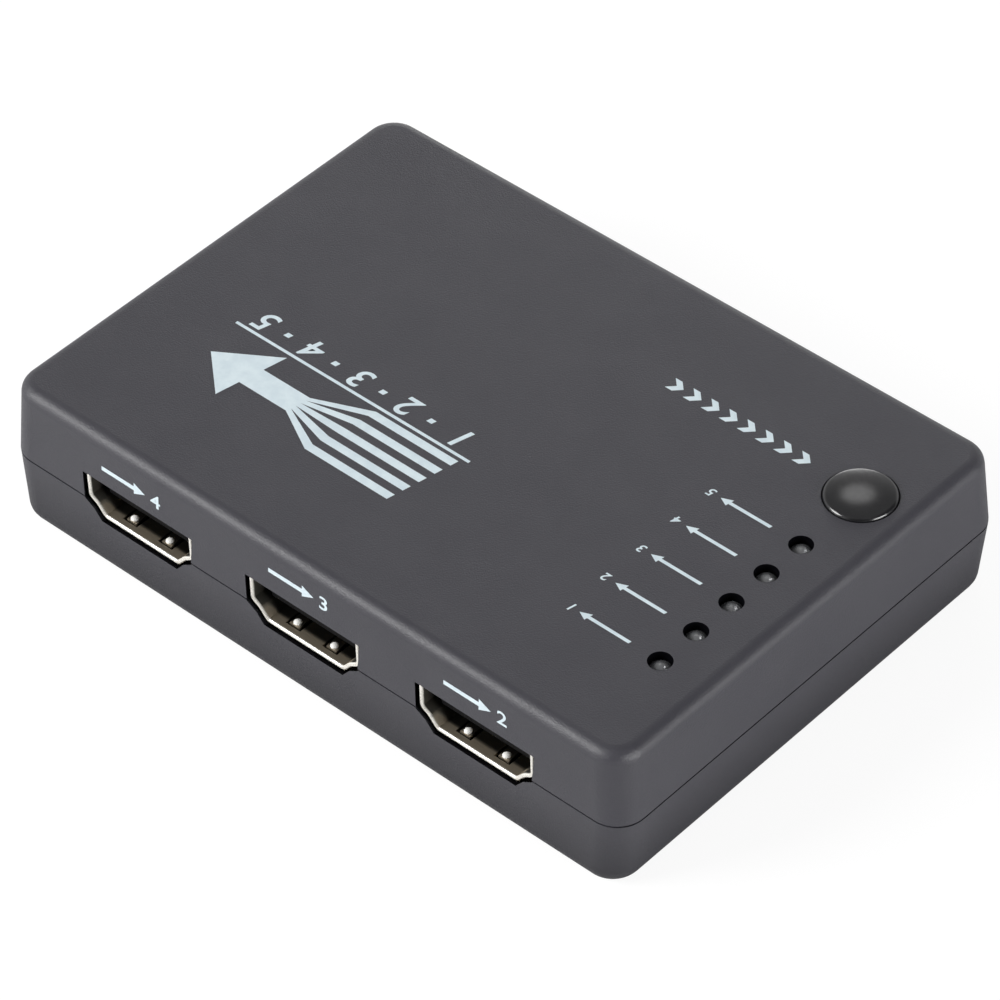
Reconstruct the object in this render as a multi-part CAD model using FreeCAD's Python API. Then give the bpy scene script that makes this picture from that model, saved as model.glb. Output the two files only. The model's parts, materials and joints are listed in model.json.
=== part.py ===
import FreeCAD, Part
import math
import os

from FreeCAD import Vector

# Five-input video switch box in two moulded halves. Millimetres, +Z up.
# The origin is the middle of the flat underside. X runs along the long sides.
# Three sockets open on each long side, the two jacks open on the -X end.

# Case
case_length = 83.2
case_width = 58.2
case_height = 18.2
parting_height = 9.1
wall = 1.8
floor_thickness = 1.8
roof_thickness = 1.8
corner_radius = 3.3
top_edge_radius = 1.5
bottom_edge_radius = 2.0
top_draft = 3.8
bottom_draft = 1.55
parting_gap = 0.2
parting_gap_depth = 0.4
lip_thickness = 0.8
lip_height = 1.2
lip_clearance = 0.1
lip_end_inset = 5.0
joint_overlap = 0.2

# Circuit board
board_thickness = 1.6
board_seat_height = 5.65
board_wall_gap = 0.4
lead_hole_gap = 0.15
board_play = 0.1
tail_length = 1.0

# Corner posts: a screw comes in from below at two opposite corners
screw_inset_x = 5.6
screw_inset_y = 5.6
screw_shank_radius = 0.98
screw_head_radius = 2.0
screw_head_height = 1.4
screw_head_recess = 0.8
screw_length = 10.5
screw_bite_clearance = 0.02
screw_pass_clearance = 0.3
screw_head_clearance = 0.4
boss_wall = 1.7
pilot_extra_depth = 1.0

# Socket metal shell: the opening is inside the sheet, heights are above its floor
socket_inset_x = 18.8
socket_length = 11.6
socket_recess = 0.5
sheet = 0.4
opening_half_width = 7.0
opening_height = 4.55
shoulder_height = 1.75
step_half_width = 6.0
step_height = 1.13
floor_half_width = 5.05
shell_corner_radius = 0.7
window_gap = 0.14
window_drop = 0.08
window_flare = 0.9
window_depth = 2.2
brow_height = 0.02
leg_width = 2.0
leg_depth = 6.6
leg_slot_gap = 0.2

# Spring fingers of the metal shell
finger_spread = 2.5
finger_width = 1.3
finger_slot_width = 2.0
finger_slot_front = 0.75
finger_slot_length = 5.0
finger_thickness = 0.25
finger_tip_gap = 0.25
finger_rise = 0.15
finger_crest_depth = 2.0

# Socket insulator and contacts
block_length = 3.1
block_clearance = 0.12
tongue_width = 11.4
tongue_thickness = 1.8
tongue_height = 1.7
tongue_setback = 1.3
tongue_bevel = 0.25
contact_pitch = 1.0
upper_contact_count = 10
contact_width = 0.3
contact_thickness = 0.2
contact_clearance = 0.04
contact_proud = 0.05
contact_tip_setback = 0.6
contact_tail = 0.5

# Lamps: five round lamps in a row beside the +X end
lamp_count = 5
lamp_pitch = 5.25
lamp_first_y = -15.62
control_inset = 6.7
lamp_hole_radius = 1.25
lamp_hole_gap = 0.15
lamp_recess = 0.5
lamp_body_length = 5.3
lamp_lead = 0.4
lamp_lead_spacing = 1.2

# Select button
button_y = 14.55
button_radius = 3.8
button_hole_gap = 0.12
button_rise = 0.75
button_bevel = 0.45
button_wing_width = 4.0
button_wing_reach = 4.7
button_wing_thickness = 0.8
button_wing_gap = 0.1
button_stem_width = 3.0
button_stem_length = 1.0

# Push switch under the button; its bent spring can fall by the travel, half its own rise
switch_size = 6.0
switch_height = 3.3
switch_travel = 0.25
switch_cavity = 5.0
switch_floor = 1.9
switch_cover_thickness = 0.2
plunger_width = 2.4
plunger_hole_gap = 0.1
plunger_flange = 4.4
plunger_flange_gap = 0.05
dome_length = 4.2
dome_crest_length = 1.6
dome_width = 3.0
dome_thickness = 0.08
terminal_width = 0.7
terminal_thickness = 0.3
terminal_spacing = 4.5

# Power inlet
power_y = 9.5
power_bore_radius = 1.95
power_bore_depth = 9.0
power_bore_height = 3.1
power_body_width = 7.0
power_body_height = 6.2
power_body_length = 11.0
power_pin_radius = 0.65
power_pin_setback = 1.0
power_pin_root = 0.1
power_spring_depth = 6.5
power_spring_reach = 0.25
jack_recess = 0.6
jack_hole_gap = 0.3
jack_pin_clearance = 0.03
jack_terminal_width = 1.6
jack_terminal_thickness = 0.3
jack_leaf_height = 0.8

# Remote eye inlet
remote_y = -7.5
remote_bore_radius = 1.8
remote_bore_depth = 11.0
remote_bore_height = 2.6
remote_body_width = 6.4
remote_body_height = 5.2
remote_body_length = 12.0
remote_nose_radius = 2.5
remote_leaf_depths = (9.0, 6.5)
remote_leaf_reach = 0.15
remote_tip_reach = 1.15

# Hold-down ribs over the sockets, under the roof
rib_thickness = 1.0
rib_gap = 0.15
rib_depth = 6.5
rib_reach = 7.2
support_width = 1.2
support_x = 9.0

# Parts on the board
chip_x = -3.0
chip_y = 0.0
chip_size = 9.0
chip_height = 0.9
chip_bevel = 0.6
small_chip_x = 14.0
small_chip_y = -2.0
small_chip_length = 4.9
small_chip_width = 3.9
small_chip_height = 1.5
small_chip_lift = 0.15
small_chip_lead_count = 4
small_chip_lead_pitch = 1.27
small_chip_lead_width = 0.4
small_chip_lead_thickness = 0.2
small_chip_lead_reach = 1.05
small_chip_lead_shoulder = 0.4
regulator_x = -21.0
regulator_y = 8.0
regulator_length = 6.5
regulator_width = 3.5
regulator_height = 1.6
regulator_tab_width = 3.0
regulator_tab_reach = 1.75
regulator_lead_width = 0.7
regulator_lead_reach = 1.5
regulator_lead_pitch = 2.3
regulator_lead_thickness = 0.3
capacitor_x = -20.5
capacitor_y = -2.0
capacitor_length = 7.3
capacitor_width = 4.3
capacitor_height = 2.9
capacitor_foot_width = 2.4
capacitor_foot_height = 1.2
capacitor_foot_reach = 0.2
crystal_x = 14.0
crystal_y = 7.0
crystal_length = 5.0
crystal_width = 3.2
crystal_height = 1.0
chip_part_length = 1.6
chip_part_width = 0.8
chip_capacitor_height = 0.8
chip_capacitor_x = 5.5
chip_capacitor_pitch = 3.0
chip_capacitor_count = 4
chip_resistor_height = 0.45
chip_resistor_gap = 3.6

# Places worked out from the sizes
half_length = case_length / 2
half_width = case_width / 2
top_slope = math.tan(math.radians(top_draft))
bottom_slope = math.tan(math.radians(bottom_draft))
roof_height = case_height - roof_thickness
board_top = board_seat_height + board_thickness
tail_height = board_seat_height - tail_length
board_inset = wall + board_wall_gap + bottom_slope * (parting_height - board_seat_height)
board_half_length = half_length - board_inset
board_half_width = half_width - board_inset
rim_distance = half_width - socket_recess
socket_floor = board_top + sheet
control_x = half_length - control_inset
screw_x = half_length - screw_inset_x
screw_y = half_width - screw_inset_y
head_seat = screw_head_recess + screw_head_height
jack_face = -half_length + jack_recess
lamp_places = [lamp_first_y + lamp_pitch * number for number in range(lamp_count)]
post_places = [(x, y) for x in (-screw_x, screw_x) for y in (-screw_y, screw_y)]
screw_places = [(-screw_x, screw_y), (screw_x, -screw_y)]
upper_post_width = 2 * (screw_shank_radius + boss_wall)
pass_radius = screw_shank_radius + screw_pass_clearance
lower_post_width = 2 * (pass_radius + boss_wall)
lamp_radius = lamp_hole_radius - lamp_hole_gap
wing_high = roof_height - button_wing_gap
wing_low = wing_high - button_wing_thickness
plunger_top = wing_low - button_stem_length
dome_high = board_top + switch_floor + 2 * switch_travel
plunger_flange_high = board_top + switch_height - plunger_flange_gap
outer_socket_x = half_length - socket_inset_x
socket_places = {
    "socket_4": (-outer_socket_x, -1),
    "socket_3": (0.0, -1),
    "socket_2": (outer_socket_x, -1),
    "socket_1": (outer_socket_x, 1),
    "socket_out": (0.0, 1),
    "socket_5": (-outer_socket_x, 1),
}


def block(x0, x1, y0, y1, z0, z1):
    return Part.makeBox(x1 - x0, y1 - y0, z1 - z0, Vector(x0, y0, z0))


def centred_block(x, y, z, size_x, size_y, size_z):
    return block(x - size_x / 2, x + size_x / 2, y - size_y / 2, y + size_y / 2, z, z + size_z)


def post(radius, x, y, z0, z1):
    return Part.makeCylinder(radius, z1 - z0, Vector(x, y, z0))


def rod_along_x(radius, y, z, x0, x1):
    return Part.makeCylinder(radius, x1 - x0, Vector(x0, y, z), Vector(1, 0, 0))


def fused(shapes):
    whole = shapes[0].multiFuse(shapes[1:])
    return whole.removeSplitter()


def group(solids):
    return Part.makeCompound(solids)


def prism(corners, along):
    return Part.Face(Part.makePolygon(closed(corners))).extrude(along)


def side_profile(points, x0, x1):
    """Prism of a (y, z) outline between two X planes."""
    return prism([Vector(x0, y, z) for y, z in points], Vector(x1 - x0, 0, 0))


def end_profile(points, y0, y1):
    """Prism of an (x, z) outline between two Y planes."""
    return prism([Vector(x, y0, z) for x, z in points], Vector(0, y1 - y0, 0))


def tapered(inset, z0, z1, slope):
    """Block inside the case outline, narrowing by the slope from z0 to z1."""
    shrink = slope * abs(z1 - z0)
    wide_x = half_length - inset
    wide_y = half_width - inset
    across = [(-wide_x, z0), (wide_x, z0), (wide_x - shrink, z1), (shrink - wide_x, z1)]
    along = [(-wide_y, z0), (wide_y, z0), (wide_y - shrink, z1), (shrink - wide_y, z1)]
    return end_profile(across, -wide_y, wide_y).common(side_profile(along, -wide_x, wide_x))


def wall_strips(inset, thickness, end_inset, z0, z1):
    """Straight strips along the four walls, outer faces at the inset from the case sides."""
    strips = []
    long_reach = half_length - end_inset
    short_reach = half_width - end_inset
    for side in (-1, 1):
        y = side * (half_width - inset - thickness / 2)
        x = side * (half_length - inset - thickness / 2)
        strips.append(centred_block(0, y, z0, 2 * long_reach, thickness, z1 - z0))
        strips.append(centred_block(x, 0, z0, thickness, 2 * short_reach, z1 - z0))
    return strips


def level_edges(shape, z):
    return [edge for edge in shape.Edges
            if abs(edge.BoundBox.ZMin - z) < 1e-4 and abs(edge.BoundBox.ZMax - z) < 1e-4]


def rounded_block(inset, z0, z1, slope):
    """Tapered block with its four standing corners rounded like the case, less the inset."""
    body = tapered(inset, z0, z1, slope)
    low, high = sorted((z0, z1))
    corners = [edge for edge in body.Edges
               if edge.BoundBox.ZMin < low + 0.01 and edge.BoundBox.ZMax > high - 0.01]
    return body.makeFillet(corner_radius - inset, corners)


def upper_body():
    """Solid upper half, with a shadow gap round its foot and a rounded top edge."""
    foot = parting_height + parting_gap
    body = rounded_block(0.0, foot, case_height, top_slope)
    body = body.makeFillet(top_edge_radius, level_edges(body, case_height))
    return body.fuse(rounded_block(parting_gap_depth, parting_height, foot + joint_overlap, 0.0))


def lower_body():
    """Solid lower half with a rounded bottom edge."""
    body = rounded_block(0.0, parting_height, 0.0, bottom_slope)
    return body.makeFillet(bottom_edge_radius, level_edges(body, 0.0))


def mitred(points, distance):
    """Closed outline, listed clockwise, moved outwards by the distance."""
    moved = []
    count = len(points)
    for number in range(count):
        before = points[number - 1]
        here = points[number]
        after = points[(number + 1) % count]
        normals = []
        for start, end in ((before, here), (here, after)):
            dx = end[0] - start[0]
            dz = end[1] - start[1]
            length = math.hypot(dx, dz)
            normals.append((-dz / length, dx / length))
        scale = distance / (1 + normals[0][0] * normals[1][0] + normals[0][1] * normals[1][1])
        moved.append((here[0] + scale * (normals[0][0] + normals[1][0]),
                      here[1] + scale * (normals[0][1] + normals[1][1])))
    return moved


def closed(points):
    return points + points[:1]


def rounded_top_wire(points, radius, place):
    """Closed outline in an XZ plane; its first and last corners, the two upper ones, get an arc."""
    placed = [Vector(place[0] + x, place[1], place[2] + z) for x, z in points]
    right, left = placed[0], placed[-1]
    bulge = radius * (1 - math.sqrt(0.5))
    right_top = right.add(Vector(-radius, 0, 0))
    right_side = right.add(Vector(0, 0, -radius))
    left_top = left.add(Vector(radius, 0, 0))
    left_side = left.add(Vector(0, 0, -radius))
    path = [right_side] + placed[1:-1] + [left_side]
    edges = [Part.Arc(right_top, right.add(Vector(-bulge, 0, -bulge)), right_side).toShape()]
    for start, end in zip(path[:-1], path[1:]):
        edges.append(Part.LineSegment(start, end).toShape())
    edges.append(Part.Arc(left_side, left.add(Vector(bulge, 0, -bulge)), left_top).toShape())
    edges.append(Part.LineSegment(left_top, right_top).toShape())
    return Part.Wire(edges)


def opening_points():
    """Inner outline of a socket above its floor, clockwise from the top right corner."""
    right = [
        (opening_half_width, opening_height),
        (opening_half_width, shoulder_height),
        (step_half_width, step_height),
        (floor_half_width, 0.0),
    ]
    left = [(-x, z) for x, z in reversed(right)]
    return right + left


def opening_prism(grow, y0, y1):
    """Sharp-cornered prism of the opening's outline, grown by a distance."""
    points = mitred(opening_points(), grow)
    return end_profile([(x, socket_floor + z) for x, z in points], y0, y1)


def turned_to_side(shape, side):
    """A piece modelled on the -Y side, turned half round for the +Y side."""
    if side > 0:
        shape.rotate(Vector(0, 0, 0), Vector(0, 0, 1), 180)
    return shape


def flared(points, x, slope, y, depth):
    """Solid of an (x, z) outline at Y that widens inwards by the slope, as far out as it goes in."""
    rings = []
    for step in (-depth, depth):
        rings.append([Vector(x + dx, y + step, dz) for dx, dz in mitred(points, slope * step)])
    outer, inner = rings
    faces = [Part.Face(Part.makePolygon(closed(ring))) for ring in rings]
    for number in range(len(points)):
        after = (number + 1) % len(points)
        corners = [outer[number], outer[after], inner[after], inner[number]]
        faces.append(Part.Face(Part.makePolygon(closed(corners))))
    return Part.Solid(Part.Shell(faces))


def socket_window(x, side):
    """Window for a socket, wider inwards; its upper edge stays low and hides the metal rim's top."""
    outline = mitred(opening_points(), sheet + window_gap)
    low = socket_floor - window_drop
    brow = socket_floor + opening_height + brow_height
    side_reach = outline[0][0]
    face = [(side_reach, brow)] + [(dx, low + dz) for dx, dz in outline[1:-1]] + [(-side_reach, brow)]
    return turned_to_side(flared(face, -x * side, window_flare, -half_width, window_depth), side)


def wall_windows():
    """Everything that the side walls leave open: six socket windows and two jack holes."""
    cuts = [socket_window(x, side) for x, side in socket_places.values()]
    inside = -half_length + window_depth
    power_reach = power_body_width / 2 + jack_hole_gap
    cuts.append(block(-half_length - 1, inside, power_y - power_reach, power_y + power_reach,
                      board_top - jack_hole_gap, board_top + power_body_height + jack_hole_gap))
    cuts.append(rod_along_x(remote_nose_radius + jack_hole_gap, remote_y, board_top + remote_bore_height,
                            -half_length - 1, inside))
    return cuts


def top_shell():
    cavity = tapered(wall, parting_height, roof_height, top_slope)
    groove_inset = wall - lip_thickness - lip_clearance
    grooves = wall_strips(groove_inset, wall - groove_inset, lip_end_inset - lip_clearance,
                          parting_height, parting_height + lip_height + lip_clearance)
    added = [upper_body().cut([cavity] + grooves)]
    cuts = wall_windows()
    post_low = board_top + board_play
    for x, y in post_places:
        added.append(centred_block(x, y, post_low, upper_post_width, upper_post_width,
                                   roof_height + joint_overlap - post_low))
    for x, y in screw_places:
        pilot_end = head_seat + screw_length + pilot_extra_depth
        cuts.append(post(screw_shank_radius + screw_bite_clearance, x, y, board_top, pilot_end))
    for y in lamp_places:
        cuts.append(post(lamp_hole_radius, control_x, y, roof_height - 1, case_height + 1))
    for side in (-1, 1):
        middle = side * (rim_distance - rib_depth)
        rib_low = socket_floor + opening_height + sheet + rib_gap
        added.append(centred_block(0, middle, rib_low, 2 * (outer_socket_x + rib_reach), rib_thickness,
                                   roof_height + joint_overlap - rib_low))
    button_hole_radius = button_radius + button_hole_gap
    cuts.append(post(button_hole_radius, control_x, button_y, roof_height - 1, case_height + 1))
    return fused(added).cut(cuts)


def bottom_shell():
    cavity = tapered(wall, parting_height, floor_thickness, bottom_slope)
    lip_low = parting_height - joint_overlap
    added = [lower_body().cut(cavity)]
    added += wall_strips(wall - lip_thickness, lip_thickness, lip_end_inset,
                         lip_low, parting_height + lip_height)
    cuts = wall_windows()
    low = floor_thickness - joint_overlap
    for x, y in post_places:
        added.append(centred_block(x, y, low, lower_post_width, lower_post_width, board_seat_height - low))
    for x, y in screw_places:
        cuts.append(post(pass_radius, x, y, -1, board_seat_height + 1))
        cuts.append(post(screw_head_radius + screw_head_clearance, x, y, -1, head_seat))
    for x in (-support_x, support_x):
        added.append(centred_block(x, 0, low, support_width, 2 * board_half_width, board_seat_height - low))
    return fused(added).cut(cuts)


def case_screws():
    screws = []
    for x, y in screw_places:
        head = post(screw_head_radius, x, y, screw_head_recess, head_seat)
        shank = post(screw_shank_radius, x, y, screw_head_recess, head_seat + screw_length)
        screws.append(fused([head, shank]))
    return group(screws)


def lead_places():
    """Where the lamp leads pass through the board."""
    return [(control_x, y + side * lamp_lead_spacing / 2) for y in lamp_places for side in (-1, 1)]


def terminal_places():
    """Where the switch terminals pass through the board."""
    reach = switch_size / 2 + terminal_thickness / 2
    aside = terminal_spacing / 2
    return [(control_x + x, button_y + y) for x in (-reach, reach) for y in (-aside, aside)]


def leg_places():
    """Middle of each socket leg, for a socket on the -Y side at X 0."""
    across = opening_half_width + sheet / 2
    return [(side * across, -rim_distance + leg_depth) for side in (-1, 1)]


def jack_terminal_places():
    """Place of each jack terminal through the board, and the direction that its blade faces."""
    thick = jack_terminal_thickness / 2
    power_side = power_body_width / 2 + thick
    remote_side = remote_body_width / 2 + thick
    return {
        "power": [
            (jack_face + power_body_length + thick, power_y, "x"),
            (jack_face + power_spring_depth, power_y + power_side, "y"),
        ],
        "remote": [
            (jack_face + remote_body_length + thick, remote_y, "x"),
            (jack_face + remote_leaf_depths[0], remote_y - remote_side, "y"),
            (jack_face + remote_leaf_depths[1], remote_y + remote_side, "y"),
        ],
    }


def circuit_board():
    board = block(-board_half_length, board_half_length, -board_half_width, board_half_width,
                  board_seat_height, board_top)
    cuts = []

    def hole(x, y, size_x, size_y, gap):
        return centred_block(x, y, board_seat_height - 1, size_x + 2 * gap, size_y + 2 * gap,
                             board_thickness + 2)

    for x, y in screw_places:
        reach = 2 * screw_inset_x
        shift = reach / 2 - pass_radius
        cuts.append(hole(x + math.copysign(shift, x), y + math.copysign(shift, y), reach, reach, 0.0))
    for y in lamp_places:
        cuts.append(hole(control_x, y, lamp_lead, lamp_lead_spacing + lamp_lead, lead_hole_gap))
    for x, y in terminal_places():
        cuts.append(hole(x, y, terminal_thickness, terminal_width, lead_hole_gap))
    for x, side in socket_places.values():
        for leg_x, leg_y in leg_places():
            slot = hole(leg_x - x * side, leg_y, sheet, leg_width, leg_slot_gap)
            cuts.append(turned_to_side(slot, side))
    for places in jack_terminal_places().values():
        for x, y, faces in places:
            size_x = jack_terminal_thickness if faces == "x" else jack_terminal_width
            size_y = jack_terminal_width if faces == "x" else jack_terminal_thickness
            cuts.append(hole(x, y, size_x, size_y, lead_hole_gap))
    return board.cut(cuts)


def finger(x, root_z, turn):
    """Spring finger along Y; the turn is 1 on the floor, where it rises, and -1 under the top."""
    front = -rim_distance + finger_slot_front + finger_tip_gap
    crest = -rim_distance + finger_crest_depth
    root = -rim_distance + finger_slot_front + finger_slot_length
    tip_z = root_z + turn * finger_rise
    outline = [
        (root, root_z),
        (crest, tip_z),
        (front, root_z),
        (front, root_z - turn * finger_thickness),
        (crest, tip_z - turn * finger_thickness),
        (root, root_z - turn * finger_thickness),
    ]
    return side_profile(outline, x - finger_width / 2, x + finger_width / 2)


def socket_shell(x, side):
    front = -rim_distance
    rear = front + socket_length
    outline = rounded_top_wire(mitred(opening_points(), sheet), shell_corner_radius,
                               (0.0, front, socket_floor))
    tube = Part.Face(outline).extrude(Vector(0, socket_length, 0))
    tube = tube.cut(opening_prism(0.0, front - 1, rear + 1))
    top_inside = socket_floor + opening_height
    slot_y = front + finger_slot_front + finger_slot_length / 2
    cuts = []
    added = []
    for middle in (-finger_spread, finger_spread):
        for low in (board_top, top_inside):
            cuts.append(centred_block(middle, slot_y, low - sheet / 4,
                                      finger_slot_width, finger_slot_length, 1.5 * sheet))
        added.append(finger(middle, socket_floor, 1))
        added.append(finger(middle, top_inside, -1))
    leg_top = top_inside - shell_corner_radius
    for leg_x, leg_y in leg_places():
        added.append(centred_block(leg_x, leg_y, tail_height, sheet, leg_width,
                                   leg_top - tail_height))
    shell = fused([tube.cut(cuts)] + added)
    shell.translate(Vector(-x * side, 0, 0))
    return turned_to_side(shell, side)


def contact_rows():
    """The two staggered rows of contacts: X of each contact, and the height of the row's upper face."""
    tongue_low = socket_floor + tongue_height
    upper_top = tongue_low + tongue_thickness + contact_proud
    lower_top = tongue_low - contact_proud + contact_thickness
    first = -(upper_contact_count - 1) / 2 * contact_pitch
    upper = [first + number * contact_pitch for number in range(upper_contact_count)]
    lower = [place + contact_pitch / 2 for place in upper[:-1]]
    return [(upper, upper_top), (lower, lower_top)]


def socket_insulator(x, side):
    front = -rim_distance
    rear = front + socket_length
    body = opening_prism(-block_clearance, rear - block_length, rear)
    low = socket_floor + tongue_height
    high = low + tongue_thickness
    tip = front + tongue_setback
    root = rear - block_length + joint_overlap
    tongue = side_profile([
        (tip, low + tongue_bevel),
        (tip + tongue_bevel, low),
        (root, low),
        (root, high),
        (tip + tongue_bevel, high),
        (tip, high - tongue_bevel),
    ], -tongue_width / 2, tongue_width / 2)
    trays = []
    for places, top in contact_rows():
        reach = places[-1] + contact_width / 2 + contact_clearance
        trays.append(block(-reach, reach, tip + contact_tip_setback - contact_clearance, rear + 1,
                           top - contact_thickness - contact_clearance, top + contact_clearance))
    shape = fused([body, tongue]).cut(trays)
    shape.translate(Vector(-x * side, 0, 0))
    return turned_to_side(shape, side)


def socket_contacts(x, side):
    start = -rim_distance + tongue_setback + contact_tip_setback
    length = socket_length + contact_tail - tongue_setback - contact_tip_setback
    contacts = []
    for places, top in contact_rows():
        for place in places:
            contacts.append(centred_block(place, start + length / 2, top - contact_thickness,
                                          contact_width, length, contact_thickness))
    shape = group(contacts)
    shape.translate(Vector(-x * side, 0, 0))
    return turned_to_side(shape, side)


def lamp_base():
    return case_height - lamp_recess - lamp_body_length


def lamp(y):
    return post(lamp_radius, control_x, y, lamp_base(), case_height - lamp_recess)


def lamp_leads():
    return group([centred_block(x, y, tail_height, lamp_lead, lamp_lead, lamp_base() - tail_height)
                  for x, y in lead_places()])


def button_cap():
    top = case_height + button_rise
    cap = post(button_radius, control_x, button_y, wing_low, top)
    cap = cap.makeChamfer(button_bevel, level_edges(cap, top))
    wings = centred_block(control_x, button_y, wing_low, button_wing_width, 2 * button_wing_reach,
                          button_wing_thickness)
    stem = centred_block(control_x, button_y, plunger_top, button_stem_width, button_stem_width,
                         button_stem_length + joint_overlap)
    return fused([cap, wings, stem])


def switch_housing():
    body = centred_block(control_x, button_y, board_top, switch_size, switch_size, switch_height)
    return body.cut(centred_block(control_x, button_y, board_top + switch_floor,
                                  switch_cavity, switch_cavity, switch_height))


def switch_cover():
    low = board_top + switch_height
    plate = centred_block(control_x, button_y, low, switch_size, switch_size, switch_cover_thickness)
    hole_width = plunger_width + 2 * plunger_hole_gap
    return plate.cut(centred_block(control_x, button_y, low - 1, hole_width, hole_width, 2))


def switch_plunger():
    flange = centred_block(control_x, button_y, dome_high, plunger_flange, plunger_flange,
                           plunger_flange_high - dome_high)
    shaft = centred_block(control_x, button_y, dome_high, plunger_width, plunger_width,
                          plunger_top - dome_high)
    return fused([flange, shaft])


def switch_dome():
    """Thin bent spring strip that stands on its two ends."""
    low = board_top + switch_floor
    foot = dome_length / 2
    bend = dome_crest_length / 2
    under = dome_high - dome_thickness
    points = [(-foot, low), (-bend, dome_high), (bend, dome_high), (foot, low),
              (foot - dome_thickness, low), (bend, under), (-bend, under), (dome_thickness - foot, low)]
    placed = [(button_y + y, z) for y, z in points]
    return side_profile(placed, control_x - dome_width / 2, control_x + dome_width / 2)


def switch_terminals():
    high = board_top + switch_height / 2
    return group([centred_block(x, y, tail_height, terminal_thickness, terminal_width, high - tail_height)
                  for x, y in terminal_places()])


def jack_leaf(place, inner, axis, grow):
    """Leaf that reaches in to the bore above its own solder leg, or the slot for its arm when grown."""
    x, y, faces = place
    half = jack_terminal_width / 2 + grow
    thick = jack_terminal_thickness / 2
    low = axis - jack_leaf_height / 2
    high = axis + jack_leaf_height / 2
    if faces == "x":
        arm = block(inner - grow, x + thick + grow, y - half, y + half, low - grow, high + grow)
        leg = block(x - thick, x + thick, y - half, y + half, tail_height, high)
    else:
        near, far = sorted((inner, y + math.copysign(thick, y - inner)))
        arm = block(x - half, x + half, near - grow, far + grow, low - grow, high + grow)
        leg = block(x - half, x + half, y - thick, y + thick, tail_height, high)
    return arm if grow else fused([arm, leg])


def power_spring(grow):
    inner = power_y + power_bore_radius - power_spring_reach
    return jack_leaf(jack_terminal_places()["power"][1], inner, board_top + power_bore_height, grow)


def power_jack_housing():
    axis = board_top + power_bore_height
    rear = jack_face + power_body_length
    half = power_body_width / 2
    body = block(jack_face, rear, power_y - half, power_y + half,
                 board_top, board_top + power_body_height)
    return body.cut([
        rod_along_x(power_bore_radius, power_y, axis, jack_face - 1, jack_face + power_bore_depth),
        rod_along_x(power_pin_radius + jack_pin_clearance, power_y, axis, jack_face, rear + 1),
        power_spring(jack_pin_clearance),
    ])


def power_jack_pin():
    axis = board_top + power_bore_height
    rear = jack_face + power_body_length
    pin = rod_along_x(power_pin_radius, power_y, axis,
                      jack_face + power_pin_setback, rear + power_pin_root)
    half = jack_terminal_width / 2
    blade = block(rear, rear + jack_terminal_thickness, power_y - half, power_y + half, tail_height,
                  axis + power_pin_radius)
    return fused([pin, blade])


def remote_leaf(number, grow):
    place = jack_terminal_places()["remote"][number]
    side = math.copysign(remote_bore_radius - remote_leaf_reach, place[1] - remote_y)
    inner = place[0] - remote_tip_reach if place[2] == "x" else remote_y + side
    return jack_leaf(place, inner, board_top + remote_bore_height, grow)


def remote_jack_housing():
    axis = board_top + remote_bore_height
    rear = jack_face + remote_body_length
    front = -board_half_length
    half = remote_body_width / 2
    body = block(front, rear, remote_y - half, remote_y + half,
                 board_top, board_top + remote_body_height)
    nose = rod_along_x(remote_nose_radius, remote_y, axis, jack_face, front + joint_overlap)
    bore = rod_along_x(remote_bore_radius, remote_y, axis, jack_face - 1, jack_face + remote_bore_depth)
    slots = [remote_leaf(number, jack_pin_clearance) for number in range(3)]
    return fused([body, nose]).cut([bore] + slots)


def remote_jack_contacts():
    return group([remote_leaf(number, 0.0) for number in range(3)])


def video_chip():
    half = chip_size / 2
    outline = [(chip_bevel - half, -half), (half, -half), (half, half), (-half, half),
               (-half, chip_bevel - half)]
    corners = [Vector(chip_x + x, chip_y + y, board_top) for x, y in outline]
    return prism(corners, Vector(0, 0, chip_height))


def control_chip():
    return centred_block(small_chip_x, small_chip_y, board_top + small_chip_lift,
                         small_chip_length, small_chip_width, small_chip_height)


def control_chip_leads():
    leads = []
    near = small_chip_width / 2
    knee = near + small_chip_lead_shoulder
    far = near + small_chip_lead_reach
    thin = small_chip_lead_thickness
    high = board_top + small_chip_lift + small_chip_height / 2
    first = small_chip_x - (small_chip_lead_count - 1) / 2 * small_chip_lead_pitch
    for side in (-1, 1):
        outline = [(near, high), (knee, high), (far, board_top), (far - thin, board_top),
                   (near, high - thin)]
        placed = [(small_chip_y + side * y, z) for y, z in outline]
        for number in range(small_chip_lead_count):
            x = first + number * small_chip_lead_pitch
            aside = small_chip_lead_width / 2
            leads.append(side_profile(placed, x - aside, x + aside))
    return group(leads)


def voltage_regulator():
    body = centred_block(regulator_x, regulator_y, board_top,
                         regulator_length, regulator_width, regulator_height)
    tab_y = regulator_y + (regulator_width + regulator_tab_reach) / 2
    tab = centred_block(regulator_x, tab_y, board_top,
                        regulator_tab_width, regulator_tab_reach, regulator_lead_thickness)
    legs = [centred_block(regulator_x + step * regulator_lead_pitch,
                          regulator_y - (regulator_width + regulator_lead_reach) / 2, board_top,
                          regulator_lead_width, regulator_lead_reach, regulator_lead_thickness)
            for step in (-1, 0, 1)]
    return fused([body, tab] + legs)


def filter_capacitor():
    body = centred_block(capacitor_x, capacitor_y, board_top,
                         capacitor_length, capacitor_width, capacitor_height)
    feet_length = capacitor_length + 2 * capacitor_foot_reach
    feet = centred_block(capacitor_x, capacitor_y, board_top,
                         feet_length, capacitor_foot_width, capacitor_foot_height)
    return fused([body, feet])


def crystal():
    return centred_block(crystal_x, crystal_y, board_top, crystal_length, crystal_width, crystal_height)


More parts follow.
